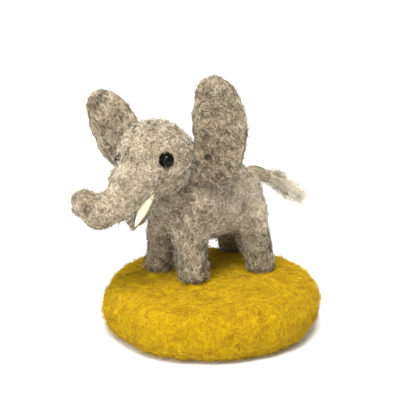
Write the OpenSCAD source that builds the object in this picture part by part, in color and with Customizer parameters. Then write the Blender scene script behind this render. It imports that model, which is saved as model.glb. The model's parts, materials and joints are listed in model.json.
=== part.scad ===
// Needle-felted elephant with sewn-in bead eyes, standing on a thick round felt base.
// Millimetres. +Z is up, the elephant looks along -Y and its left side is +X.
// The origin is the centre of the base's flat underside.

/* [Base] */
// Diameter of the felt base
base_d = 87.5; // [78:1:100]
// Height of the felt base
base_h = 21.5; // [18:0.5:28]
// Radius of the base's soft edges
base_edge_r = 9.2; // [6:0.2:10.4]
// Thickness of the coloured wool over the core
base_skin = 4; // [2:0.5:6]

/* [Torso] */
// Sideways place of the elephant's middle on the base
animal_x = -9.3; // [-12:0.1:4]
// Place of the torso's middle along the base
torso_y = 4.6; // [0:0.2:8]
// Height of the torso's axis above the base
torso_rise = 29.4; // [28:0.1:30]
// Length of the torso
torso_len = 49; // [46:1:54]
// Largest radius of the torso
torso_r = 15; // [13:0.2:15.2]
// Thickness of the outer wool on the torso and head
felt_skin = 4; // [3:0.5:5]

/* [Legs] */
// Radius of a foot
foot_r = 6.3; // [5:0.1:7]
// Radius of a leg where it joins the torso
hip_r = 7.6; // [6:0.1:8]
// Height of the hips above the base
hip_rise = 27; // [24:0.5:30]

/* [Head] */
// Radius of the head
head_r = 14.6; // [13:0.2:16]
// Height of the head's centre above the base
head_rise = 52.5; // [52.4:0.1:56]
// How far the head is turned to its left at rest
head_turn = 26; // [15:1:30]
// Diameter of a bead eye
eye_d = 5.8; // [4:0.1:7]
// Length of a tusk
tusk_len = 16.5; // [10:0.5:18]
// Largest radius of a tusk
tusk_r = 2; // [1.5:0.1:2.4]

/* [Ears] */
// Width of the left ear
ear_left_w = 22; // [18:0.5:26]
// Height of the left ear
ear_left_h = 45; // [38:1:50]
// Width of the right ear
ear_right_w = 20; // [18:0.5:26]
// Height of the right ear
ear_right_h = 39; // [30:1:46]
// Thickness of an ear
ear_t = 4; // [3:0.2:5]
// Lean of the left ear away from the head
ear_left_lean = 0; // [-8:1:12]
// Lean of the right ear away from the head
ear_right_lean = 26; // [10:1:40]

/* [Trunk] */
// Radius of the trunk at the face
trunk_root_r = 6.6; // [5.5:0.1:7.2]
// Radius of the trunk at its curl
trunk_mid_r = 6.1; // [5:0.1:6.5]
// Radius of the trunk's rounded tip
trunk_tip_r = 5.5; // [5:0.1:6.3]

/* [Tail] */
// Radius of the tail
tail_r = 2.6; // [2:0.1:3.2]
// Largest radius of the tail's loose tuft
tuft_r = 3.6; // [2.8:0.1:4.4]

/* [Joints and wires] */
// Gap between felt pieces that move on each other
joint_gap = 0.35; // [0.3:0.05:0.6]
// Radius of the armature wire
wire_r = 0.9; // [0.6:0.1:1.2]
// Radial play of the head on its wire
pin_play = 0.06; // [0.02:0.01:0.1]
// Radial play of a wire or thread that lies still in the wool
still_play = 0.1; // [0.05:0.05:0.2]

/* [Hidden] */
$fn = 64;
HULL_FN = 28;
ROOM_FN = 24;
SMALL = 0.01;

torso_z = base_h + torso_rise;
torso_front_y = torso_y - torso_len / 2;
torso_back_y = torso_y + torso_len / 2;
torso_squareness = 2.2;
torso_steps = 16;
edge_steps = 7;

head_z = base_h + head_rise;

// The head turns on a plug that stands on the shoulders.
neck_at = [animal_x, -15.2, 0];
neck_plug_r = 6.2;
neck_foot_z = torso_z + 2;
neck_top_z = head_z - 9.5;
pin_top_z = head_z + 1;
head_forward = 8;

// Places in the head's own frame: x to its left, -y ahead, z up, from its centre.
muzzle_at = [-2, -13.5, -7.5];
muzzle_r = 9;
trunk_joint = [-4, -18, -13];
trunk_curl = [-11.5, -24, -17.3];
trunk_tip_at = [-16.4, -25.8, -14.4];
jaw_root_at = [0, -8.5, -12.5];
jaw_root_r = 5;
jaw_tip_at = [-0.4, -17.2, -24];
jaw_tip_r = 1.3;
eye_left_at = [10.2, -8.8, 2.6];
eye_right_at = [-9.9, -9.6, -0.4];
tusk_left_root = [6.3, -12.4, -8.6];
tusk_left_tip = [3, -20.6, -22.1];
tusk_right_root = [-8, -7, -11.2];
tusk_right_tip = [-8.4, -12.6, -21.6];

// The ear's root bead lies in a groove in the side of the head.
ear_root_r = 2.5;
ear_root_out = 15.2;
ear_root_back = 3.5;
ear_root_low_z = -11;
ear_root_high_z = 3.5;
ear_left_sweep = 18;
ear_right_sweep = 18;
ear_upper_share = 0.78;
ear_lobe_share = 0.88;
ear_corners = 12;

tail_root = [animal_x, 28.2, 58.6];
tail_mid = [animal_x, 39, 54];
tail_end = [animal_x, 44, 50.6];
tuft_end = [animal_x, 51.5, 45.4];
tail_cut = 1.4;

// Feet on the base, and the hip that each leg reaches.
foot_front_left = [0.2, -9, base_h];
foot_front_right = [-17.8, -13.2, base_h];
foot_hind_left = [4, 20.2, base_h];
foot_hind_right = [-22.6, 24.6, base_h];
hip_front_left = [-2.6, -9, base_h + hip_rise];
hip_front_right = [-15.5, -10.9, base_h + hip_rise];
hip_hind_left = [-0.6, 19.4, base_h + hip_rise - 3];
hip_hind_right = [-18, 20.2, base_h + hip_rise - 3];
foot_pad_h = 3;
wire_foot_depth = 9;

eye_sink = 0.1;
thread_r = 0.35;

trunk_lift_min = -15;
trunk_lift_max = 25;
trunk_curl_min = -20;
trunk_curl_max = 20;
room_gap = joint_gap + 0.15;

// ---- helpers ----

// Puts its children in the head's frame.
module in_head() {
    translate([neck_at.x, neck_at.y, 0])
        rotate([0, 0, head_turn])
            translate([0, -head_forward, head_z])
                children();
}

// Lays its children, which stand on +Z, along the line from one point to another.
module along(from, to) {
    run = to - from;
    translate(from)
        rotate([0, acos(run.z / norm(run)), atan2(run.y, run.x)])
            children();
}

// A straight round rod between two points, longer at both ends by a given length.
module rod(from, to, r, more = 0) {
    along(from, to)
        translate([0, 0, -more])
            cylinder(r = r, h = norm(to - from) + 2 * more, $fn = 32);
}

// A soft sausage between two balls.
module sausage(from, from_r, to, to_r) {
    hull() {
        translate(from) sphere(r = from_r, $fn = HULL_FN);
        translate(to) sphere(r = to_r, $fn = HULL_FN);
    }
}

// Everything past a point, on the side that a direction points to.
module beyond(point, toward, back) {
    run = toward - point;
    along(point - run * (back / norm(run)), toward)
        translate([-40, -40, 0]) cube([80, 80, 80]);
}

// The outline of a puck with soft edges, from its axis outwards.
function puck_profile(r, h, edge) = concat(
    [[0, 0]],
    [for (i = [0:edge_steps]) let (a = -90 + 90 * i / edge_steps) [r - edge + edge * cos(a), edge + edge * sin(a)]],
    [for (i = [0:edge_steps]) let (a = 90 * i / edge_steps) [r - edge + edge * cos(a), h - edge + edge * sin(a)]],
    [[0, h]]
);

module puck(r, h, edge) {
    rotate_extrude($fn = 96) polygon(puck_profile(r, h, edge));
}

// ---- base ----

module base_cover() {
    color("#dcb414")
        difference() {
            puck(base_d / 2, base_h, base_edge_r);
            translate([0, 0, base_skin])
                puck(base_d / 2 - base_skin, base_h - 2 * base_skin, base_edge_r - base_skin);
            leg_wire_holes();
        }
}

module base_core() {
    color("#e9e2d0")
        difference() {
            translate([0, 0, base_skin])
                puck(base_d / 2 - base_skin, base_h - 2 * base_skin, base_edge_r - base_skin);
            leg_wire_holes();
        }
}

// ---- torso ----

function torso_profile(grow) = [
    for (i = [0:torso_steps])
        let (a = 180 * i / torso_steps,
             c = cos(a),
             s = sin(a),
             p = 2 / torso_squareness)
            [(torso_r + grow) * pow(s, p), (torso_len / 2 + grow) * sign(c) * pow(abs(c), p)]
];

module torso_shape(grow = 0) {
    translate([animal_x, torso_y, torso_z])
        rotate([90, 0, 0])
            rotate_extrude()
                polygon(torso_profile(grow));
}

module neck_plug(grow = 0) {
    translate([neck_at.x, neck_at.y, neck_foot_z])
        cylinder(r = neck_plug_r + grow, h = neck_top_z + grow - neck_foot_z);
}

module body_felt() {
    color("#b3a892")
        difference() {
            torso_shape();
            torso_shape(-felt_skin);
            neck_plug();
            leg_wire_holes();
            spine_wire_shape(wire_r + still_play);
            translate(tail_root) sphere(r = tail_r + joint_gap);
        }
}

module body_core() {
    color("#d9d2c0")
        difference() {
            torso_shape(-felt_skin);
            neck_plug();
            leg_wire_holes();
            spine_wire_shape(wire_r + still_play);
        }
}

module neck_felt() {
    color("#8f8471")
        difference() {
            neck_plug();
            spine_wire_shape(wire_r + still_play);
        }
}

module spine_wire_shape(r) {
    back = [animal_x, torso_back_y - 8, torso_z];
    corner = [neck_at.x, neck_at.y, torso_z];
    rod(back, corner, r, r);
    rod(corner, [neck_at.x, neck_at.y, pin_top_z], r);
}

module spine_wire() {
    color("#9a9a9a") spine_wire_shape(wire_r);
}

// ---- legs ----

module leg(foot, hip, wire_hole) {
    color("#a89d88")
        difference() {
            hull() {
                translate(foot) cylinder(r = foot_r - 0.8, h = foot_pad_h, $fn = HULL_FN);
                translate(foot + [0, 0, 0.8]) cylinder(r = foot_r, h = foot_pad_h, $fn = HULL_FN);
                translate(hip) sphere(r = hip_r, $fn = HULL_FN);
            }
            torso_shape();
            leg_wire_shape(foot, hip, wire_r + still_play);
        }
}

module leg_wire_shape(foot, hip, r) {
    run = foot - hip;
    low = foot + run * (wire_foot_depth / norm(run));
    rod(low, hip, r, r);
}

module leg_pair_wire_shape(foot_a, hip_a, foot_b, hip_b, r) {
    leg_wire_shape(foot_a, hip_a, r);
    leg_wire_shape(foot_b, hip_b, r);
    rod(hip_a, hip_b, r, r);
}

module front_leg_wire_shape(r) {
    leg_pair_wire_shape(foot_front_left, hip_front_left, foot_front_right, hip_front_right, r);
}

module hind_leg_wire_shape(r) {
    leg_pair_wire_shape(foot_hind_left, hip_hind_left, foot_hind_right, hip_hind_right, r);
}

module leg_wire_holes() {
    front_leg_wire_shape(wire_r + still_play);
    hind_leg_wire_shape(wire_r + still_play);
}

module leg_front_left() {
    leg(foot_front_left, hip_front_left);
}

module leg_front_right() {
    leg(foot_front_right, hip_front_right);
}

module leg_hind_left() {
    leg(foot_hind_left, hip_hind_left);
}

module leg_hind_right() {
    leg(foot_hind_right, hip_hind_right);
}

module front_leg_wire() {
    color("#9a9a9a") front_leg_wire_shape(wire_r);
}

module hind_leg_wire() {
    color("#9a9a9a") hind_leg_wire_shape(wire_r);
}

// ---- head ----

module eye_hole(at) {
    deep = at * (1 - (eye_d / 2 + eye_sink) / norm(at));
    along(deep, at) cylinder(r = eye_d / 2 + eye_sink, h = head_r);
}

module eye_thread_shape(r) {
    along(eye_left_at, eye_right_at)
        translate([0, 0, eye_d / 4])
            cylinder(r = r, h = norm(eye_right_at - eye_left_at) - eye_d / 2, $fn = 32);
}

module head_pin_hole() {
    translate([neck_at.x, neck_at.y, neck_top_z])
        cylinder(r = wire_r + pin_play, h = pin_top_z + wire_r + 1 - neck_top_z, $fn = 32);
}

module head_core() {
    color("#d9d2c0")
        difference() {
            in_head() sphere(r = head_r - felt_skin);
            neck_plug(joint_gap);
            head_pin_hole();
            in_head() {
                eye_hole(eye_left_at);
                eye_hole(eye_right_at);
                eye_thread_shape(thread_r + still_play);
                trunk_wire_head_shape(wire_r + still_play);
                ear_root(1, ear_root_r + joint_gap);
                ear_root(-1, ear_root_r + joint_gap);
            }
        }
}

module head_felt() {
    color("#b3a892")
        difference() {
            in_head() sphere(r = head_r);
            in_head() sphere(r = head_r - felt_skin);
            neck_plug(joint_gap);
            head_pin_hole();
            in_head() {
                eye_hole(eye_left_at);
                eye_hole(eye_right_at);
                eye_thread_shape(thread_r + still_play);
                trunk_wire_head_shape(wire_r + still_play);
                ear_root(1, ear_root_r + joint_gap);
                ear_root(-1, ear_root_r + joint_gap);
            }
        }
}

module muzzle_solid() {
    hull() {
        translate([0, -3, -1.5]) sphere(r = head_r - 2, $fn = HULL_FN);
        translate(muzzle_at) sphere(r = muzzle_r, $fn = HULL_FN);
        translate(trunk_joint) sphere(r = trunk_root_r + 0.4, $fn = HULL_FN);
    }
}

// Turns its children about a point in the head's frame, so that a trunk's free end rises.
module lifted(at, degrees) {
    sideways = cross(trunk_curl - trunk_joint, [0, 0, 1]);
    translate(at)
        rotate(a = degrees, v = sideways)
            translate(-at)
                children();
}

// The room that a ball-ended piece needs as its free end rises from one angle to another.
module swing_room(from, from_r, to, to_r, low, high) {
    hull() {
        translate(from) sphere(r = from_r + room_gap, $fn = ROOM_FN);
        for (a = [low, (low + high) / 2, high])
            lifted(from, a)
                translate(to) sphere(r = to_r + room_gap, $fn = ROOM_FN);
    }
}

module trunk_room() {
    swing_room(trunk_joint, trunk_root_r, trunk_curl, trunk_mid_r, trunk_lift_min, trunk_lift_max);
}

module trunk_tip_room() {
    swing_room(trunk_curl, trunk_mid_r, trunk_tip_at, trunk_tip_r, trunk_curl_min, trunk_curl_max);
}

module muzzle_felt() {
    color("#b3a892")
        in_head()
            difference() {
                muzzle_solid();
                sphere(r = head_r);
                trunk_room();
                trunk_wire_head_shape(wire_r + still_play);
                eye_hole(eye_left_at);
                eye_hole(eye_right_at);
                tusk_shape(tusk_left_root, tusk_left_tip, still_play);
                tusk_shape(tusk_right_root, tusk_right_tip, still_play);
            }
}

module lower_jaw() {
    color("#9d927c")
        in_head()
            difference() {
                sausage(jaw_root_at, jaw_root_r, jaw_tip_at, jaw_tip_r);
                sphere(r = head_r);
                muzzle_solid();
                trunk_room();
                tusk_shape(tusk_left_root, tusk_left_tip, still_play);
                tusk_shape(tusk_right_root, tusk_right_tip, still_play);
            }
}

module eye(at) {
    color("#151312")
        in_head()
            difference() {
                translate(at) sphere(r = eye_d / 2);
                eye_thread_shape(thread_r + still_play);
            }
}

module eye_left() {
    eye(eye_left_at);
}

module eye_right() {
    eye(eye_right_at);
}

module eye_thread() {
    color("#2b2927") in_head() eye_thread_shape(thread_r);
}

function tusk_profile(grow) = concat(
    [[0, -grow]],
    [for (i = [0:10])
        let (t = i / 10)
            [max(SMALL, (tusk_r + grow) * pow(sin(180 * (0.12 + 0.88 * t)), 0.8)), tusk_len * t]],
    [[0, tusk_len + grow]]
);

module tusk_shape(root, tip, grow = 0) {
    along(root, tip) rotate_extrude($fn = 40) polygon(tusk_profile(grow));
}

module tusk_left() {
    color("#efe7cf") in_head() tusk_shape(tusk_left_root, tusk_left_tip);
}

module tusk_right() {
    color("#efe7cf") in_head() tusk_shape(tusk_right_root, tusk_right_tip);
}

// ---- ears ----

module ear_root(side, r) {
    rod([side * ear_root_out, ear_root_back, ear_root_low_z],
        [side * ear_root_out, ear_root_back, ear_root_high_z], r);
}

module ear_shape(side, w, h, lean, sweep) {
    ear_root(side, ear_root_r);
    translate([side * ear_root_out, ear_root_back, (ear_root_low_z + ear_root_high_z) / 2])
        rotate([0, 0, side * sweep])
            mirror([side < 0 ? 1 : 0, 0, 0])
                rotate([0, lean, 0])
                    hull()
                        for (i = [0:ear_corners - 1]) {
                            a = 360 * i / ear_corners;
                            tall = h * (sin(a) > 0 ? ear_upper_share : 1 - ear_upper_share);
                            wide = w / 2 * (sin(a) < 0 ? ear_lobe_share : 1);
                            translate([wide * (1 + cos(a)), 0, tall * sin(a)])
                                sphere(r = ear_t / 2, $fn = 16);
                        }
}

module ear_left() {
    color("#a89d88") in_head() ear_shape(1, ear_left_w, ear_left_h, ear_left_lean, ear_left_sweep);
}

module ear_right() {
    color("#a89d88") in_head() ear_shape(-1, ear_right_w, ear_right_h, ear_right_lean, ear_right_sweep);
}

// ---- trunk ----

module trunk_wire_head_shape(r) {
    rod([-1, -6, -4], trunk_joint + (muzzle_at - trunk_joint) * 1.15, r);
}

module trunk_wire_head() {
    color("#9a9a9a") in_head() trunk_wire_head_shape(wire_r);
}

module trunk_wire_middle_shape(r) {
    run = trunk_curl - trunk_joint;
    rod(trunk_joint - run * 0.3, trunk_joint + run * 0.28, r);
}

module trunk_wire_tip_shape(r) {
    run = trunk_tip_at - trunk_curl;
    rod(trunk_curl - run * 0.4, trunk_tip_at, r);
}

module trunk_felt() {
    color("#ada28c")
        in_head()
            difference() {
                sausage(trunk_joint, trunk_root_r, trunk_curl, trunk_mid_r + 0.3);
                trunk_tip_room();
                trunk_wire_middle_shape(wire_r + still_play);
            }
}

module trunk_wire_middle() {
    color("#9a9a9a") in_head() trunk_wire_middle_shape(wire_r);
}

module trunk_tip_felt() {
    color("#ada28c")
        in_head()
            difference() {
                sausage(trunk_curl, trunk_mid_r, trunk_tip_at, trunk_tip_r);
                trunk_wire_tip_shape(wire_r + still_play);
            }
}

module trunk_wire_tip() {
    color("#9a9a9a") in_head() trunk_wire_tip_shape(wire_r);
}

// ---- tail ----

module tail_wire_root_shape(r) {
    run = tail_mid - tail_root;
    rod(tail_root, tail_root + run * 0.6, r);
}

module tail_wire_end_shape(r) {
    rod(tail_mid, tail_end, r);
}

module tail_felt() {
    color("#ada28c")
        difference() {
            sausage(tail_root, tail_r, tail_mid, tail_r);
            beyond(tail_mid, tail_mid * 2 - tail_root, tail_cut);
            translate(tail_mid) sphere(r = tail_r + joint_gap);
            tail_wire_root_shape(wire_r * 0.7 + still_play);
        }
}

module tail_wire_root() {
    color("#9a9a9a") tail_wire_root_shape(wire_r * 0.7);
}

module tail_end_felt() {
    color("#b9ae98")
        difference() {
            sausage(tail_mid, tail_r, tail_end, tail_r + 0.2);
            tail_tuft_shape();
            tail_wire_end_shape(wire_r * 0.7 + still_play);
        }
}

module tail_tuft_shape() {
    sausage(tail_end + (tuft_end - tail_end) * 0.25, tuft_r, tuft_end, 1.6);
}

module tail_tuft() {
    color("#d8cfb8")
        difference() {
            tail_tuft_shape();
            tail_wire_end_shape(wire_r * 0.7 + still_play);
        }
}

module tail_wire_end() {
    color("#9a9a9a") tail_wire_end_shape(wire_r * 0.7);
}

base_core();
base_cover();
body_core();
body_felt();
leg_front_left();
leg_front_right();
leg_hind_left();
leg_hind_right();
front_leg_wire();
hind_leg_wire();
spine_wire();
neck_felt();
head_core();
head_felt();
muzzle_felt();
lower_jaw();
eye_left();
eye_right();
eye_thread();
tusk_left();
tusk_right();
ear_left();
ear_right();
trunk_wire_head();
trunk_felt();
trunk_wire_middle();
trunk_tip_felt();
trunk_wire_tip();
tail_felt();
tail_wire_root();
tail_end_felt();
tail_tuft();
tail_wire_end();
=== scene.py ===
"""A needle-felted elephant on a thick round felt base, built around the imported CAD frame.

Each wool part is a distance field in millimetres. A closed skin is meshed from the field's zero
surface, and curled wool fibres with real thickness are laid on it and stray from it.
"""

import json
import math

import bpy
import numpy as np
from mathutils import Matrix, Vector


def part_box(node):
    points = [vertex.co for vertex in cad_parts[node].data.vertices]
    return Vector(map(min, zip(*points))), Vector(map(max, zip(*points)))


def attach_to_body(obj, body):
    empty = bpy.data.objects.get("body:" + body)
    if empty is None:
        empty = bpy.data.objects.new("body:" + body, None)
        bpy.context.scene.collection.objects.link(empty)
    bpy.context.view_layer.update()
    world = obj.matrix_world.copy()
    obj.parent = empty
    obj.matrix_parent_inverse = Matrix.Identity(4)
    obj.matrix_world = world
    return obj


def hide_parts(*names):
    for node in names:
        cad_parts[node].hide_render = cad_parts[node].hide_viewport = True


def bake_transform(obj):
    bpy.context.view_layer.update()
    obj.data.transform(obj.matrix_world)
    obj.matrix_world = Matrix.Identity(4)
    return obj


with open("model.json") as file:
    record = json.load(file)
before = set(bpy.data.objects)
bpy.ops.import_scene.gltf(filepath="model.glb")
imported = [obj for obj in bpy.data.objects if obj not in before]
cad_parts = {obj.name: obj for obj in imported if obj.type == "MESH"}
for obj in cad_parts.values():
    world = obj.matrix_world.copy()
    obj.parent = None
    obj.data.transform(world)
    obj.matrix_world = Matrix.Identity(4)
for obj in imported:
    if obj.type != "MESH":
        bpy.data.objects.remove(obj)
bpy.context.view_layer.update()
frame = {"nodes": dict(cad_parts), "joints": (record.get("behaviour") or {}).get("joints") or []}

MM = 0.001
X, Y, Z = np.eye(3)


def point(*xyz):
    return np.array(xyz, float)


def joint_at(name):
    """Where a joint of the frame is, in millimetres."""
    return np.array(next(j for j in frame["joints"] if j["name"] == name)["pos_m"]) / MM


def node_middle(name):
    low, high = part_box(name)
    return np.array((low + high) / 2) / MM


BASE_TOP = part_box("base_cover")[1].z / MM
BASE_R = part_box("base_cover")[1].x / MM
NECK = joint_at("head_turn")
EYE_R = (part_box("eye_left")[1].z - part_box("eye_left")[0].z) / MM / 2
TORSO = point(NECK[0], 4.6, BASE_TOP + 29.4)
TORSO_R = 15.0
TORSO_HALF = 24.5
HEAD_R = 14.6
HEAD_TURN = math.radians(26)
HEAD_FORWARD = 8.0
COS, SIN = math.cos(HEAD_TURN), math.sin(HEAD_TURN)
HEAD_AXES = np.array([[COS, SIN, 0], [-SIN, COS, 0], [0, 0, 1]])
HEAD = point(NECK[0], NECK[1], BASE_TOP + 52.5) - HEAD_FORWARD * HEAD_AXES[1]


def from_head(x, y, z):
    """A point given in the head's frame: x to its left, -y ahead, z up from its centre."""
    return HEAD + point(x, y, z) @ HEAD_AXES


# ---- the camera, at the photograph's viewing angle ----

CAMERA_AZIMUTH = math.radians(56)
CAMERA_ELEVATION = math.radians(17.5)
CAMERA_DISTANCE = 700
CAMERA_LENS = 153.7
SENSOR_WIDTH = 36
AIM_HEIGHT = 50
AIM_TO_SIDE = -2.6
AIM_UPWARD = 2.0


def add_camera():
    side = point(math.cos(CAMERA_AZIMUTH), math.sin(CAMERA_AZIMUTH), 0)
    back = math.cos(CAMERA_ELEVATION) * point(side[1], -side[0], 0) + math.sin(CAMERA_ELEVATION) * Z
    above = np.cross(back, side)
    aim = AIM_HEIGHT * Z + AIM_TO_SIDE * side + AIM_UPWARD * above
    camera = bpy.data.objects.new("camera", bpy.data.cameras.new("camera"))
    bpy.context.scene.collection.objects.link(camera)
    camera.data.lens = CAMERA_LENS
    camera.data.sensor_width = SENSOR_WIDTH
    place(camera, aim + CAMERA_DISTANCE * back, side, above, back)
    bpy.context.scene.camera = camera


def place(obj, at, side, above, back):
    """Puts an object at a point with its own x, y and z along three directions."""
    matrix = np.eye(4)
    matrix[:3, 0], matrix[:3, 1], matrix[:3, 2], matrix[:3, 3] = side, above, back, at * MM
    obj.matrix_world = Matrix(matrix.tolist())


add_camera()

# ---- distance fields ----


def ball(p, at, r):
    return np.linalg.norm(p - at, axis=1) - r


def bar(p, a, b, r_a, r_b):
    """A round bar from a to b that tapers from one radius to the other."""
    run = b - a
    t = np.clip((p - a) @ run / (run @ run), 0, 1)
    return np.linalg.norm(p - a - t[:, None] * run, axis=1) - (r_a + (r_b - r_a) * t)


def join(a, b, soft):
    """Both shapes, run into each other over a soft distance."""
    h = np.clip(0.5 + 0.5 * (b - a) / soft, 0, 1)
    return b + (a - b) * h - soft * h * (1 - h)


def carve(a, b, soft):
    """The first shape without the second."""
    return -join(-a, b, soft)


def waves(p, wavelength, seed, count=16):
    """Smooth random hills of about one unit, from waves in all directions."""
    rng = np.random.default_rng(seed)
    way = rng.normal(size=(count, 3))
    way /= np.linalg.norm(way, axis=1)[:, None]
    turns = 2 * math.pi / (wavelength * rng.uniform(0.7, 1.4, count))
    phase = rng.uniform(0, 2 * math.pi, count)
    return np.sin(p @ (way * turns[:, None]).T + phase).sum(1) / math.sqrt(count / 2)


LUMP_WIDTH = 9
TUFT_WIDTH = 2.4
LUMPS_REACH = 3


def lumpy(field, seed, big=0.26, small=0.06):
    """The field with a felted surface: broad hand-made lumps and fine tufts."""

    def found(p):
        d = field(p)
        near = np.abs(d) < LUMPS_REACH
        q = p[near]
        d[near] += big * waves(q, LUMP_WIDTH, seed) + small * waves(q, TUFT_WIDTH, seed + 1)
        return d

    return found


def steepest(field, p):
    """The field's unit gradient."""
    step = 0.05
    slope = np.stack([field(p + step * axis) - field(p - step * axis) for axis in (X, Y, Z)], 1)
    return slope / np.maximum(np.linalg.norm(slope, axis=1), 1e-9)[:, None]


# ---- meshes ----


def mesh_object(name, vertices, faces):
    """A mesh piece from millimetre points and equal-sided faces. Its materials use the points kept here."""
    mesh = bpy.data.meshes.new(name)
    count, sides = faces.shape
    mesh.vertices.add(len(vertices))
    mesh.vertices.foreach_set("co", (vertices * MM).astype(np.float32).ravel())
    mesh.loops.add(count * sides)
    mesh.loops.foreach_set("vertex_index", faces.astype(np.int32).ravel())
    mesh.polygons.add(count)
    mesh.polygons.foreach_set("loop_start", np.arange(0, count * sides, sides, dtype=np.int32))
    mesh.update(calc_edges=True)
    mesh.validate()
    mesh.shade_smooth()
    kept = mesh.attributes.new("wool_at", "FLOAT_VECTOR", "POINT")
    kept.data.foreach_set("vector", (vertices * MM).astype(np.float32).ravel())
    obj = bpy.data.objects.new(name, mesh)
    bpy.context.scene.collection.objects.link(obj)
    return obj


def surface_of(field, low, high, cell):
    """Points and quads of the field's zero surface, with one point in each grid cell that it crosses."""
    counts = np.ceil((high - low) / cell).astype(int) + 1
    axes = [low[i] + cell * np.arange(counts[i]) for i in range(3)]
    grid = np.stack(np.meshgrid(*axes, indexing="ij"), -1)
    value = field(grid.reshape(-1, 3)).reshape(counts)
    cells = counts - 1
    total, crossings = np.zeros((*cells, 3)), np.zeros(cells)
    crossed = []
    for axis in range(3):
        u, v = (axis + 1) % 3, (axis + 2) % 3
        start = np.moveaxis(value, (axis, u, v), (0, 1, 2))
        a, b = start[:-1], start[1:]
        cut = (a < 0) != (b < 0)
        share = np.where(cut, a / np.where(cut, a - b, 1), 0)
        where = np.moveaxis(grid, (axis, u, v), (0, 1, 2))[:-1].copy()
        where[..., axis] += share * cell
        where *= cut[..., None]
        sum_view = np.moveaxis(total, (axis, u, v), (0, 1, 2))
        count_view = np.moveaxis(crossings, (axis, u, v), (0, 1, 2))
        for du in (0, 1):
            for dv in (0, 1):
                sum_view += where[:, du : du + cells[u], dv : dv + cells[v]]
                count_view += cut[:, du : du + cells[u], dv : dv + cells[v]]
        crossed.append((axis, u, v, np.argwhere(cut), a[cut] < 0))
    used = crossings > 0
    index = np.full(cells, -1)
    index[used] = np.arange(used.sum())
    points = total[used] / crossings[used][:, None]
    quads = []
    for axis, u, v, at, rising in crossed:
        view = np.moveaxis(index, (axis, u, v), (0, 1, 2))
        i, j, k = at.T
        quad = np.stack([view[i, j - 1, k - 1], view[i, j, k - 1], view[i, j, k], view[i, j - 1, k]], 1)
        quad[~rising] = quad[~rising][:, ::-1]
        quads.append(quad)
    return points, np.concatenate(quads)


def scatter(points, quads, count, rng):
    """Random places all over a surface, evenly by area."""
    a, b, c, d = (points[quads[:, i]] for i in range(4))
    area = np.linalg.norm(np.cross(c - a, d - b), axis=1) / 2
    picked = rng.choice(len(quads), count, p=area / area.sum())
    s, t = rng.uniform(size=(2, count, 1))
    low = a[picked] * (1 - s) + b[picked] * s
    high = d[picked] * (1 - s) + c[picked] * s
    return low * (1 - t) + high * t, area.sum()


def spindles(name, paths, radii, materials, slots):
    """One piece of closed three-sided threads. Each follows its own path and is pointed at both ends."""
    count, steps, _ = paths.shape
    way = np.gradient(paths, axis=1)
    side = np.cross(way, [0.3, 0.5, 0.81])
    side /= np.maximum(np.linalg.norm(side, axis=2), 1e-9)[..., None]
    other = np.cross(way, side)
    other /= np.maximum(np.linalg.norm(other, axis=2), 1e-9)[..., None]
    rings = [paths[:, 0]]
    for step in range(1, steps - 1):
        for corner in range(3):
            a = 2 * math.pi * corner / 3
            turn = math.cos(a) * side[:, step] + math.sin(a) * other[:, step]
            rings.append(paths[:, step] + radii[:, None] * turn)
    rings.append(paths[:, -1])
    vertices = np.stack(rings, 1)
    last = 3 * (steps - 2) + 1
    one = [(0, 1 + (c + 1) % 3, 1 + c) for c in range(3)]
    for step in range(steps - 3):
        low, high = 1 + 3 * step, 4 + 3 * step
        for c in range(3):
            n = (c + 1) % 3
            one += [(low + c, low + n, high + n), (low + c, high + n, high + c)]
    one += [(last - 3 + c, last - 3 + (c + 1) % 3, last) for c in range(3)]
    one = np.array(one)
    faces = (one[None] + (np.arange(count) * vertices.shape[1])[:, None, None]).reshape(-1, 3)
    obj = mesh_object(name, vertices.reshape(-1, 3), faces)
    for material in materials:
        obj.data.materials.append(material)
    obj.data.polygons.foreach_set("material_index", np.repeat(slots, len(one)).astype(np.int32))
    return obj


# ---- materials ----


def colour(red, green, blue):
    """A screen colour, from 0 to 255, as the linear colour that shaders take."""
    linear = [((c / 255 + 0.055) / 1.055) ** 2.4 if c > 10 else c / 255 / 12.92 for c in (red, green, blue)]
    return (*linear, 1.0)


def shader(name, roughness, sheen=0.0, specular=0.5):
    """A new node material, its shader and a function that adds nodes."""
    material = bpy.data.materials.new(name)
    material.use_nodes = True
    nodes, links = material.node_tree.nodes, material.node_tree.links
    principled = nodes["Principled BSDF"]
    principled.inputs["Roughness"].default_value = roughness
    principled.inputs["Sheen Weight"].default_value = sheen
    principled.inputs["Sheen Roughness"].default_value = 0.6
    principled.inputs["Specular IOR Level"].default_value = specular
    place_node = nodes.new("ShaderNodeAttribute")
    place_node.attribute_name = "wool_at"

    def add(kind, links_in=(), **values):
        node = nodes.new("ShaderNode" + kind)
        for key, value in values.items():
            node.inputs[key.replace("_", " ")].default_value = value
        for socket, source in links_in:
            links.new(source, node.inputs[socket])
        return node

    return material, principled, add, links, place_node.outputs["Vector"]


def ramp(add, source, stops):
    """A colour ramp over a source value, from (place, colour) stops."""
    node = add("ValToRGB", [("Fac", source)])
    elements = node.color_ramp.elements
    while len(elements) < len(stops):
        elements.new(0.5)
    for element, (at, value) in zip(elements, stops):
        element.position = at
        element.color = value
    return node.outputs["Color"]


def bump(add, links, principled, height, strength, distance):
    node = add("Bump", [("Height", height)], Strength=strength, Distance=distance)
    links.new(node.outputs["Normal"], principled.inputs["Normal"])


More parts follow.
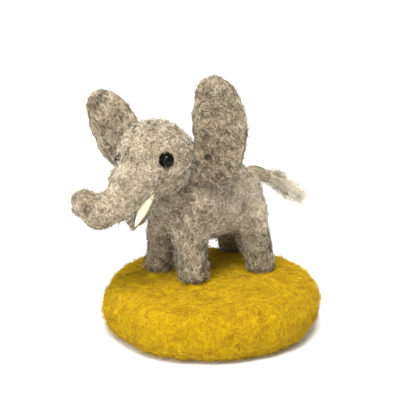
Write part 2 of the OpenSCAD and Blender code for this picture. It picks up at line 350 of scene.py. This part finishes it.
def heather(name, stops, streaks, patch=230.0):
    """Felted wool: mixed fibres in patches, crossed by fine curled strands."""
    material, principled, add, links, at = shader(name, 0.95, sheen=0.04, specular=0.05)
    patches = add("TexNoise", [("Vector", at)], Scale=patch, Detail=5.0, Roughness=0.72, Distortion=1.6)
    strands = add("TexNoise", [("Vector", at)], Scale=1400.0, Detail=3.0, Roughness=0.6, Distortion=4.0)
    base = ramp(add, patches.outputs["Fac"], stops)
    fine = ramp(add, strands.outputs["Fac"], streaks)
    mixed = add("MixRGB", [("Color1", base), ("Color2", fine)], Fac=0.75)
    mixed.blend_type = "MULTIPLY"
    links.new(mixed.outputs["Color"], principled.inputs["Base Color"])
    bump(add, links, principled, strands.outputs["Fac"], 0.6, 0.0005)
    return material


def thread_wool(name, tone):
    """One colour of loose fibre. Its scaly surface is a fine bump."""
    material, principled, add, links, at = shader(name, 0.9, sheen=0.04, specular=0.08)
    principled.inputs["Base Color"].default_value = tone
    scales = add("TexNoise", [("Vector", at)], Scale=5000.0, Detail=2.0)
    bump(add, links, principled, scales.outputs["Fac"], 0.3, 0.0001)
    return material


STREAKS = [(0.34, (0.30, 0.27, 0.24, 1)), (0.48, (0.74, 0.72, 0.70, 1)), (0.62, (1, 1, 1, 1))]
GREY_SKIN = heather(
    "grey_heather_wool",
    [
        (0.28, colour(112, 99, 80)),
        (0.46, colour(144, 130, 106)),
        (0.62, colour(172, 157, 130)),
        (0.78, colour(190, 176, 150)),
    ],
    STREAKS,
)
PALE_SKIN = heather(
    "pale_tuft_wool",
    [(0.30, colour(176, 162, 136)), (0.55, colour(214, 202, 178)), (0.75, colour(236, 226, 206))],
    STREAKS,
)
GOLD_SKIN = heather(
    "golden_felted_wool",
    [
        (0.28, colour(146, 110, 1)),
        (0.45, colour(176, 140, 2)),
        (0.60, colour(194, 160, 3)),
        (0.76, colour(206, 174, 6)),
    ],
    STREAKS,
    patch=150.0,
)
GREY_THREADS = [
    (0.20, thread_wool("fibre_dark", colour(50, 41, 31))),
    (0.20, thread_wool("fibre_mid", colour(136, 122, 98))),
    (0.30, thread_wool("fibre_light", colour(200, 187, 161))),
    (0.30, thread_wool("fibre_cream", colour(236, 226, 205))),
]
PALE_THREADS = [
    (0.12, thread_wool("fibre_tuft_mid", colour(150, 136, 112))),
    (0.40, thread_wool("fibre_tuft_light", colour(222, 211, 189))),
    (0.48, thread_wool("fibre_tuft_cream", colour(246, 238, 222))),
]
GOLD_THREADS = [
    (0.16, thread_wool("fibre_ochre", colour(156, 116, 1))),
    (0.40, thread_wool("fibre_gold", colour(190, 153, 1))),
    (0.36, thread_wool("fibre_yellow", colour(206, 171, 3))),
    (0.08, thread_wool("fibre_lemon", colour(216, 186, 12))),
]


# ---- wool parts ----

MOST_FIBRES = 15000
FIBRE_CURL = 0.95
LYING_HEIGHT = 0.25
END_SINK = 0.12


def choose_tone(p, threads, seed, shade):
    """Which thread each fibre is. The tones keep their shares, gather in clumps, and turn darker by the
    shade amount, or paler where it is below zero; on the body and ears that amount is painted shade and
    painted light.
    """
    rng = np.random.default_rng(seed)
    score = 0.8 * waves(p, 7, seed + 2) + 0.9 * waves(p, 2.0, seed + 3) + 2.2 * rng.normal(size=len(p))
    rank = np.argsort(np.argsort(score)) / len(p) - shade(p)
    edges = np.cumsum([share for share, _ in threads])[:-1]
    return np.searchsorted(edges, rank)


def fibre_paths(field, roots, rng, length, stray, rise, comb):
    """Curled paths of four points along the surface. Some stray: their free ends rise off it."""
    count = len(roots)
    normal = steepest(field, roots)
    across = np.cross(normal, rng.normal(size=(count, 3)))
    if comb is not None:
        across = across * 0.35 + comb * np.linalg.norm(across, axis=1)[:, None]
        across -= normal * np.sum(across * normal, axis=1)[:, None]
    across /= np.maximum(np.linalg.norm(across, axis=1), 1e-9)[:, None]
    other = np.cross(normal, across)
    long = rng.uniform(*length, count)
    curl = rng.normal(0, FIBRE_CURL, count)
    lift = np.where(rng.uniform(size=count) < stray, rng.uniform(0.3, 1, count) * rise, 0)
    at, paths = roots, []
    for step in range(4):
        paths.append(at)
        a = curl * (step - 1)
        at = at + (long / 3)[:, None] * (np.cos(a)[:, None] * across + np.sin(a)[:, None] * other)
    paths = np.stack(paths, 1)
    heights = rng.uniform(0.0, LYING_HEIGHT, (count, 4))
    heights[:, [0, 3]] -= END_SINK
    flat = paths.reshape(-1, 3)
    for _ in range(2):
        gap = field(flat) - heights.ravel()
        flat = flat - steepest(field, flat) * np.clip(gap, -3, 3)[:, None]
    lying = flat.reshape(count, 4, 3)
    arch = np.where(rng.uniform(size=(count, 1)) < 0.5, [[0, 0.75, 1.0, 0.5]], [[0, 0.25, 0.65, 1.0]])
    loose = paths + normal[:, None, :] * (lift[:, None] * arch)[..., None]
    return np.where(lift[:, None, None] > 0, loose, lying)


def no_shade(p):
    return 0.0


def felt(
    name, field, low, high, cell, skin_material, threads, attach, replaces, seed, density=3.8,
    length=(2.4, 5.2), width=(0.028, 0.058), stray=0.4, rise=1.4, comb=None, clear=(), shade=no_shade,
):
    """A wool part: its closed skin and the fibres over it, all attached to the frame in the same way."""
    points, quads = surface_of(field, low, high, cell)
    skin = mesh_object(name, points, quads)
    skin.data.materials.append(skin_material)
    attach(skin)
    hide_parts(*replaces)
    rng = np.random.default_rng(seed)
    _, area = scatter(points, quads, 1, rng)
    count = int(density * area)
    roots, _ = scatter(points, quads, count, rng)
    paths = fibre_paths(field, roots, rng, length, stray, rise, comb)
    free = np.ones(count, bool)
    for blocked in clear:
        free &= (blocked(paths.reshape(-1, 3)).reshape(count, -1) > 0).all(1)
    paths = paths[free]
    tones = choose_tone(paths[:, 1], threads, seed, shade)
    radii = rng.uniform(*width, len(paths))
    tone_materials = [material for _, material in threads]
    batches = math.ceil(len(paths) / MOST_FIBRES)
    for batch in range(batches):
        part = slice(batch, None, batches)
        made = spindles(f"{name}_fibres_{batch + 1}", paths[part], radii[part], tone_materials, tones[part])
        attach(made)


def riding(body):
    return lambda obj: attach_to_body(obj, body)


def bending():
    return lambda obj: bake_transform(obj)


# ---- the base ----

TOP_EDGE = 8.6
UNDER_EDGE = 10.6
DOME_FALL = 0.35
BASE_WAVE = 0.45
BASE_WAVE_WIDTH = 34
TABLE_GAP = 0.05
BASE_REACH = 47


def base_field(p):
    """A puck with soft edges, rounder and more undercut below, and a slightly domed top."""
    out = np.hypot(p[:, 0], p[:, 1])
    half = BASE_TOP / 2
    up = p[:, 2] - half
    edge = np.where(up > 0, TOP_EDGE, UNDER_EDGE)
    side = out - (BASE_R - 0.2 - edge)
    tall = np.abs(up) + DOME_FALL * (out / BASE_R) ** 2 * (up > 0) - (half - edge)
    corner = np.hypot(np.maximum(side, 0), np.maximum(tall, 0))
    d = np.minimum(np.maximum(side, tall), 0) + corner - edge
    return d + BASE_WAVE * waves(p, BASE_WAVE_WIDTH, 71)


def base_shape(p):
    d = lumpy(base_field, 11, big=0.18, small=0.05)(p)
    return np.maximum(d, TABLE_GAP - p[:, 2])


felt(
    "base_wool", base_shape, point(-BASE_REACH, -BASE_REACH, -1.5),
    point(BASE_REACH, BASE_REACH, BASE_TOP + 3.5), 0.8, GOLD_SKIN, GOLD_THREADS,
    riding("elephant"), ("base_cover", "base_core"), density=2.8, seed=12,
    length=(2.6, 6.0), width=(0.035, 0.07), stray=0.35, rise=1.3, clear=[lambda p: p[:, 2] - 0.1],
)

# ---- torso and legs ----

# Each leg's foot and hip as x and y, then the hip's height over the base and its radius.
LEGS = {
    "leg_front_left": ((0.2, -9), (-2.6, -9), 27, 7.3),
    "leg_front_right": ((-17.8, -13.2), (-15.5, -10.9), 27, 7.3),
    "leg_hind_left": ((4.3, 20.8), (-0.6, 19.4), 24, 6.7),
    "leg_hind_right": ((-20.6, 24.4), (-16.8, 20.2), 24, 6.7),
}
FOOT_R = 5.5
FOOT_MIDDLE = 3.9
LEG_BLEND = 3.5
SHOULDER_R = 9
SHOULDER_BLEND = 5
SHOULDER = TORSO + point(6.0, -8.8, 7.2)
# Where the body's fibres get painted shade (the chest, and the legs below a height) and painted light (the
# near flank).
SHADED_CHEST = TORSO + point(11, -19, 4)
LIT_FLANK = TORSO + point(13, 3, 4)
SHADED_CHEST_SPREAD = 10
LIT_FLANK_SPREAD = 15
PAINTED_LIGHT_AND_SHADE = 0.2
SHADED_LEGS_TOP = 17
FOOT_SINK = 0.8
SQUARENESS = 2.2


def torso_field(p):
    q = p - TORSO
    out = np.hypot(q[:, 0], q[:, 2]) / TORSO_R
    grown = (out**SQUARENESS + (np.abs(q[:, 1]) / TORSO_HALF) ** SQUARENESS) ** (1 / SQUARENESS)
    return np.linalg.norm(q, axis=1) * (1 - 1 / np.maximum(grown, 0.05))


def body_painted_shade_and_light(p):
    """Painted shade: darker fibres on the chest under the head and low on the legs. Painted light: paler
    fibres on the near flank.
    """
    chest = PAINTED_LIGHT_AND_SHADE * np.exp(-(ball(p, SHADED_CHEST, 0) / SHADED_CHEST_SPREAD) ** 2)
    legs = PAINTED_LIGHT_AND_SHADE * (p[:, 2] < BASE_TOP + SHADED_LEGS_TOP)
    return chest + legs - PAINTED_LIGHT_AND_SHADE * np.exp(-(ball(p, LIT_FLANK, 0) / LIT_FLANK_SPREAD) ** 2)


def body_shape(p):
    d = torso_field(p)
    for foot, hip, rise, hip_r in LEGS.values():
        leg = bar(p, point(*foot, BASE_TOP + FOOT_MIDDLE), point(*hip, BASE_TOP + rise), FOOT_R, hip_r)
        d = join(d, leg, LEG_BLEND)
    d = join(d, ball(p, SHOULDER, SHOULDER_R), SHOULDER_BLEND)
    return np.maximum(d, BASE_TOP - FOOT_SINK - p[:, 2])


felt(
    "body_wool", lumpy(body_shape, 21), point(-34, -26, BASE_TOP - 2), point(14, 36, TORSO[2] + 18), 0.55,
    GREY_SKIN, GREY_THREADS, riding("elephant"),
    ("body_felt", "body_core", "spine_wire", "front_leg_wire", "hind_leg_wire", *LEGS),
    seed=22, clear=[lambda p: p[:, 2] - BASE_TOP],
    shade=body_painted_shade_and_light,
)

# ---- neck ----

NECK_LOW = point(NECK[0], NECK[1], TORSO[2] + 6)
NECK_HIGH = point(NECK[0], NECK[1], HEAD[2] - 6)
NECK_LOW_R = 9.4
NECK_HIGH_R = 8.4


def neck_shape(p):
    return bar(p, NECK_LOW, NECK_HIGH, NECK_LOW_R, NECK_HIGH_R)


felt(
    "neck_wool", lumpy(neck_shape, 31), NECK_LOW - 12, NECK_HIGH + 12, 0.6, GREY_SKIN, GREY_THREADS,
    bending(), ("neck_felt",), seed=32,
)

# ---- head and trunk ----

TRUNK_ROOT = joint_at("trunk_lift")
TRUNK_CURL = joint_at("trunk_curl")
TRUNK_TIP = from_head(-16.4, -25.8, -14.4)
TRUNK_RUN = TRUNK_CURL - TRUNK_ROOT
TRUNK_WAY = TRUNK_RUN / np.linalg.norm(TRUNK_RUN)
TRUNK_SPLIT = 5.0
SPLIT_OVERLAP = 0.5
SPLIT_CLEAR = 0.6
TIP_INSET = 0.04
MUZZLE = from_head(-2, -13.5, -7.5)
SNOUT_ROOT = from_head(0, -3, -1.5)
SNOUT_ROOT_R = 12.4
SNOUT_FRONT_R = 9
EYE_HOLLOW = 1.3
EYES = {name: node_middle(name) for name in ("eye_left", "eye_right")}


def face_field(p):
    d = ball(p, HEAD, HEAD_R)
    d = join(d, bar(p, SNOUT_ROOT, MUZZLE, SNOUT_ROOT_R, SNOUT_FRONT_R), 2.5)
    d = join(d, bar(p, MUZZLE, TRUNK_ROOT, 8.8, 6.9), 2)
    d = join(d, bar(p, TRUNK_ROOT - 0.6 * Z, TRUNK_CURL - 0.5 * Z, 7.0, 6.3), 1.5)
    d = join(d, bar(p, TRUNK_CURL, TRUNK_TIP, 6.0, 5.4), 1.5)
    for eye in EYES.values():
        outward = (eye - HEAD) / np.linalg.norm(eye - HEAD)
        hollow = eye + 1.9 * outward - 0.9 * HEAD_AXES[1]
        d = carve(d, ball(p, hollow, EYE_R + EYE_HOLLOW), 0.6)
    return d


def trunk_tip_shade(p):
    return 0.25 * np.exp(-(ball(p, TRUNK_TIP, 0) / 6.5) ** 2)


def past_split(p):
    """How far a point is towards the trunk's tip from where its skin is split between two bodies."""
    return (p - TRUNK_ROOT) @ TRUNK_WAY - TRUNK_SPLIT


lumpy_face = lumpy(face_field, 41, big=0.18)
EYES_CLEAR = [lambda p, eye=eye: ball(p, eye, EYE_R + 0.15) for eye in EYES.values()]

TUSKS = {
    "tusk_left": (from_head(6.3, -12.4, -8.6), from_head(3, -20.6, -22.1)),
    "tusk_right": (from_head(-8, -7, -11.2), from_head(-8.4, -12.6, -21.6)),
}
TUSK_LENGTH = 16.5
TUSK_R = 1.95
TUSK_FLATNESS = 0.6
TUSK_RINGS = 30
TUSK_SIDES = 24
TUSKS_CLEAR = [lambda p, t=t: bar(p, t[0], t[1], 1.6, 0.9) for t in TUSKS.values()]

felt(
    "head_wool", lambda p: np.maximum(lumpy_face(p), past_split(p) - SPLIT_OVERLAP),
    HEAD - point(22, 32, 24), HEAD + point(22, 19, 18), 0.55, GREY_SKIN, GREY_THREADS,
    bending(),
    (
        "head_felt", "head_core", "muzzle_felt", "trunk_felt",
        "trunk_wire_head", "trunk_wire_middle", "eye_thread",
    ),
    seed=42, clear=[*EYES_CLEAR, *TUSKS_CLEAR, lambda p: SPLIT_CLEAR - past_split(p)],
)
felt(
    "trunk_tip_wool", lambda p: np.maximum(lumpy_face(p) + TIP_INSET, -past_split(p) - SPLIT_OVERLAP),
    TRUNK_TIP - 13, TRUNK_ROOT + 9, 0.5, GREY_SKIN, GREY_THREADS,
    bending(),
    ("trunk_tip_felt", "trunk_wire_tip"), seed=52, shade=trunk_tip_shade,
    clear=[lambda p: past_split(p) + SPLIT_CLEAR],
)

# ---- lower lip ----

LIP_ROOT = from_head(0, -8.5, -12.5)
LIP_TIP = from_head(-0.4, -17.2, -24)
LIP_BACK = from_head(0.2, -12.6, -21.6)
LIP_FAR = from_head(-2.0, -16.0, -22.4)


def lip_shape(p):
    front = join(bar(p, LIP_ROOT, LIP_TIP, 5.6, 1.2), bar(p, LIP_ROOT, LIP_FAR, 5, 1.4), 1.5)
    return join(front, bar(p, LIP_ROOT, LIP_BACK, 5.4, 2.4), 2)


felt(
    "lip_wool", lumpy(lip_shape, 61, big=0.15, small=0.1), LIP_TIP - 9, LIP_ROOT + point(11, 11, 9), 0.45,
    GREY_SKIN, GREY_THREADS, riding("head"), ("lower_jaw",), seed=62, clear=TUSKS_CLEAR,
    length=(2.0, 4.0), rise=0.8,
)

# ---- ears ----

EAR_OUT = 12.2
EAR_BACK = 5.4
EAR_HALF = 1.9
EAR_RIM = EAR_HALF - 0.1
EAR_SPREAD = (11, 20)
OUTLINE_STEPS = 72
FULLNESS = 0.9


def ear_outline(middle, half_wide, half_tall, shear, tilt, bow):
    """An oval's outline. It is sheared sideways, tilted, and bowed so that both ends turn to the head."""
    a = np.linspace(0, 2 * math.pi, OUTLINE_STEPS, endpoint=False)
    c, s = np.cos(a), np.sin(a)
    wide = np.sign(c) * np.abs(c) ** FULLNESS
    tall = np.sign(s) * np.abs(s) ** FULLNESS
    across = middle[0] + half_wide * wide + shear * tall - bow * tall**2
    up = middle[1] + half_tall * tall + tilt * wide
    return np.stack([across, up], 1)


def inside_outline(q, outline):
    """Signed distance to a closed outline in its own plane, less than zero inside."""
    nearest = np.full(len(q), 1e9)
    inside = np.zeros(len(q), bool)
    for a, b in zip(outline, np.roll(outline, -1, 0)):
        run, gap = b - a, q - a
        t = np.clip(gap @ run / (run @ run), 0, 1)
        nearest = np.minimum(nearest, np.linalg.norm(gap - t[:, None] * run, axis=1))
        crosses = (a[1] > q[:, 1]) != (b[1] > q[:, 1])
        inside ^= crosses & (q[:, 0] < run[0] * (q[:, 1] - a[1]) / (run[1] or 1e-9) + a[0])
    return np.where(inside, -nearest, nearest)


def ear_axes(side, sweep):
    """The ear plane's outward direction and its normal, which points to the front."""
    a = math.radians(sweep)
    out = point(side * math.cos(a), math.sin(a), 0) @ HEAD_AXES
    front = point(side * math.sin(a), -math.cos(a), 0) @ HEAD_AXES
    return out, front


def ear_field(side, sweep, outline, dish, hole):
    """A dished plate inside the outline, on a short root bar. The left ear has a shallow needle hole."""
    root = from_head(side * EAR_OUT, EAR_BACK, 0)
    out, front = ear_axes(side, sweep)
    middle = outline.mean(0)
    low = root + 1.6 * out - 1.2 * front - 8 * Z
    high = low + 13 * Z
    mouth = None if hole is None else root + hole[0] * out + hole[1] * Z

    def found(p):
        q = p - root
        flat = np.stack([q @ out, q[:, 2]], 1)
        edge = inside_outline(flat, outline)
        spread = np.linalg.norm((flat - middle) / EAR_SPREAD, axis=1)
        sag = 0.03 * np.maximum(-q[:, 2], 0) ** 2
        off = np.abs(q @ front + sag - dish * (np.minimum(spread, 1.3) ** 2 - 0.6))
        a, b = edge + EAR_RIM, off - (EAR_HALF - EAR_RIM)
        plate = np.minimum(np.maximum(a, b), 0) + np.hypot(np.maximum(a, 0), np.maximum(b, 0)) - EAR_RIM
        d = join(plate, bar(p, low, high, 1.9, 1.7), 1.5)
        if mouth is not None:
            d = carve(d, needle_hole(p), 1.2)
        return d

    def needle_hole(p):
        return bar(p, mouth + 4 * front, mouth + 0.4 * front, 1.9, 1.2)

    # Darker ear fibres: darker all over, painted shade in the middle of the dished ear, and painted shade in
    # and around the needle hole.
    def shade(p):
        if mouth is None:
            return 0.18
        hollow_painted_shade = 0.40 * np.exp(-(ball(p, mouth + 1.5 * out + 3 * Z, 0) / 11) ** 2)
        return 0.15 + hollow_painted_shade + 0.9 * np.exp(-(ball(p, mouth, 0) / 2.6) ** 2)

    return found, root, out, shade


# The left ear is a tall paddle and the right one a broad leaf. Both stand up from their roots.
LEFT_EAR = ear_outline(middle=(12, 11.5), half_wide=10.5, half_tall=22, shear=0, tilt=0, bow=2.5)
RIGHT_EAR = ear_outline(middle=(10, 4.5), half_wide=14, half_tall=17, shear=4, tilt=3, bow=0)

for name, node, side, sweep, outline, dish, hole, seed in (
    ("left_ear", "ear_left", 1, 20, LEFT_EAR, 1.7, (7.3, 0.8), 81),
    ("right_ear", "ear_right", -1, 10, RIGHT_EAR, 1.2, None, 91),
):
    field, root, out, shade = ear_field(side, sweep, outline, dish, hole)
    reach = np.abs(out) * 30 + 6
    felt(
        f"{name}_wool", lumpy(field, seed, big=0.22, small=0.13), root - reach - point(0, 0, 18),
        root + reach + point(0, 0, 36), 0.6, GREY_SKIN, GREY_THREADS,
        bending(), (node,), seed=seed + 1,
        shade=shade,
    )

# ---- tail ----

TAIL_ROOT = joint_at("tail_swing")
TAIL_MID = joint_at("tail_lift")
TAIL_END = TAIL_MID + point(0, 5, -4.0)
TUFT_END = TAIL_MID + point(0, 14.0, -10.8)
TAIL_RUN = TAIL_MID - TAIL_ROOT
TAIL_WAY = TAIL_RUN / np.linalg.norm(TAIL_RUN)
TAIL_SPLIT = 6.0
TUFT_WAY = (TUFT_END - TAIL_END) / np.linalg.norm(TUFT_END - TAIL_END)


def tail_field(p):
    d = bar(p, TAIL_ROOT - 2 * TAIL_WAY, TAIL_MID, 2.7, 2.5)
    d = join(d, bar(p, TAIL_MID, TAIL_END, 2.4, 2.3), 1)
    return join(d, bar(p, TAIL_END + 1.5 * TUFT_WAY, TUFT_END - 3 * TUFT_WAY, 2.7, 1.3), 1)


def past_tail_split(p):
    return (p - TAIL_ROOT) @ TAIL_WAY - TAIL_SPLIT


def tuft_shade(p):
    """Darker wool where the tuft leaves the grey tail, a little paler beyond."""
    return 0.45 * np.exp(-(np.maximum(past_tail_split(p), 0) / 4.5) ** 2) - 0.08


lumpy_tail = lumpy(tail_field, 101, big=0.15, small=0.12)
felt(
    "tail_wool", lambda p: np.maximum(lumpy_tail(p), past_tail_split(p) - SPLIT_OVERLAP),
    TAIL_ROOT - point(7, 7, 10), TAIL_ROOT + point(7, 14, 7), 0.4,
    GREY_SKIN, GREY_THREADS,
    bending(),
    ("tail_felt", "tail_wire_root"), seed=102, length=(2.5, 5.0), density=2.2, rise=1.0,
    comb=TAIL_WAY, clear=[lambda p: SPLIT_CLEAR - past_tail_split(p)],
)
felt(
    "tail_tuft_wool", lambda p: np.maximum(lumpy_tail(p) + TIP_INSET, -past_tail_split(p) - SPLIT_OVERLAP),
    TAIL_ROOT + point(-7, 2, -26), TUFT_END + point(7, 6, 20), 0.4, PALE_SKIN, PALE_THREADS,
    bending(),
    ("tail_end_felt", "tail_tuft", "tail_wire_end"), seed=112, length=(4.0, 9.5), density=7.0, stray=0.7,
    rise=1.9, width=(0.035, 0.06), comb=TUFT_WAY, clear=[lambda p: past_tail_split(p) + SPLIT_CLEAR],
    shade=tuft_shade,
)

# ---- tusks ----


def tusk_material():
    material, principled, add, links, at = shader("cream_tusk", 0.55, sheen=0.1, specular=0.35)
    grain = add("TexNoise", [("Vector", at)], Scale=420.0, Detail=4.0, Roughness=0.6, Distortion=0.8)
    tone = ramp(add, grain.outputs["Fac"], [(0.3, colour(178, 166, 136)), (0.7, colour(206, 196, 170))])
    links.new(tone, principled.inputs["Base Color"])
    bump(add, links, principled, grain.outputs["Fac"], 0.25, 0.0003)
    return material


def tusk(name, root, tip, side, material):
    """A flattened leaf-shaped tusk whose broad side faces ahead and outwards."""
    rings, sides = TUSK_RINGS, TUSK_SIDES
    way = (tip - root) / np.linalg.norm(tip - root)
    wide = np.cross(way, 0.6 * side * HEAD_AXES[0] - 0.8 * HEAD_AXES[1])
    wide /= np.linalg.norm(wide)
    thin = np.cross(way, wide)
    vertices = [root]
    for ring in range(1, rings):
        t = ring / rings
        r = TUSK_R * math.sin(math.pi * (0.12 + 0.88 * t)) ** 0.8
        middle = root + way * TUSK_LENGTH * t
        for s in range(sides):
            a = 2 * math.pi * s / sides
            vertices.append(middle + r * (math.cos(a) * wide + TUSK_FLATNESS * math.sin(a) * thin))
    vertices.append(root + way * TUSK_LENGTH)
    end = len(vertices) - 1
    faces = []
    for s in range(sides):
        n = (s + 1) % sides
        faces.append((0, 1 + n, 1 + s))
        for ring in range(rings - 2):
            low, high = 1 + ring * sides, 1 + (ring + 1) * sides
            faces += [(low + s, low + n, high + n), (low + s, high + n, high + s)]
        faces.append((end - sides + s, end - sides + n, end))
    made = mesh_object(f"{name}_horn", np.array(vertices), np.array(faces))
    made.data.materials.append(material)
    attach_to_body(made, "head")
    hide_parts(name)


horn = tusk_material()
for side, (name, (root, tip)) in zip((1, -1), TUSKS.items()):
    tusk(name, root, tip, side, horn)

# ---- eyes ----


def bead_material():
    material, principled, add, links, _ = shader("black_glass_bead", 0.08, specular=0.1)
    place_node = add("TexCoord")
    smudge = add("TexNoise", [("Vector", place_node.outputs["Object"])], Scale=900.0, Detail=2.0)
    tone = ramp(add, smudge.outputs["Fac"], [(0.35, colour(5, 4, 3)), (0.7, colour(12, 9, 7))])
    links.new(tone, principled.inputs["Base Color"])
    return material


glass = bead_material()
for name in EYES:
    node = frame["nodes"][name]
    node.data.materials.clear()
    node.data.materials.append(glass)
    node.data.shade_smooth()

# ---- floor and light ----

FLOOR_COLOUR = (0.93, 0.93, 0.92, 1)
FLOOR_SIZE = 16
FLOOR_DROP = 0.0002
LIT_HEIGHT = 45
SKY_STRENGTH = 0.62


def floor():
    material, principled, *_ = shader("pale_floor", 0.8, specular=0.1)
    principled.inputs["Base Color"].default_value = FLOOR_COLOUR
    bpy.ops.mesh.primitive_plane_add(size=FLOOR_SIZE, location=(0, 0, -FLOOR_DROP))
    plane = bpy.context.object
    plane.name = "floor"
    plane.data.materials.append(material)


def softbox(name, at, size, power):
    """A square area light that faces the elephant."""
    light = bpy.data.objects.new(name, bpy.data.lights.new(name, "AREA"))
    bpy.context.scene.collection.objects.link(light)
    light.data.size = size
    light.data.energy = power
    back = at - LIT_HEIGHT * Z
    back /= np.linalg.norm(back)
    side = np.cross(Z, back)
    side /= np.linalg.norm(side)
    place(light, at, side, np.cross(back, side), back)


def studio():
    world = bpy.data.worlds.new("studio")
    bpy.context.scene.world = world
    world.use_nodes = True
    backdrop = world.node_tree.nodes["Background"]
    backdrop.inputs["Color"].default_value = (1, 1, 1, 1)
    backdrop.inputs["Strength"].default_value = SKY_STRENGTH
    softbox("key_light", point(330, -260, 900), size=0.5, power=17)
    softbox("fill_light", point(350, -800, 420), size=0.6, power=5.5)
    bpy.context.scene.view_settings.view_transform = "Standard"


floor()
studio()
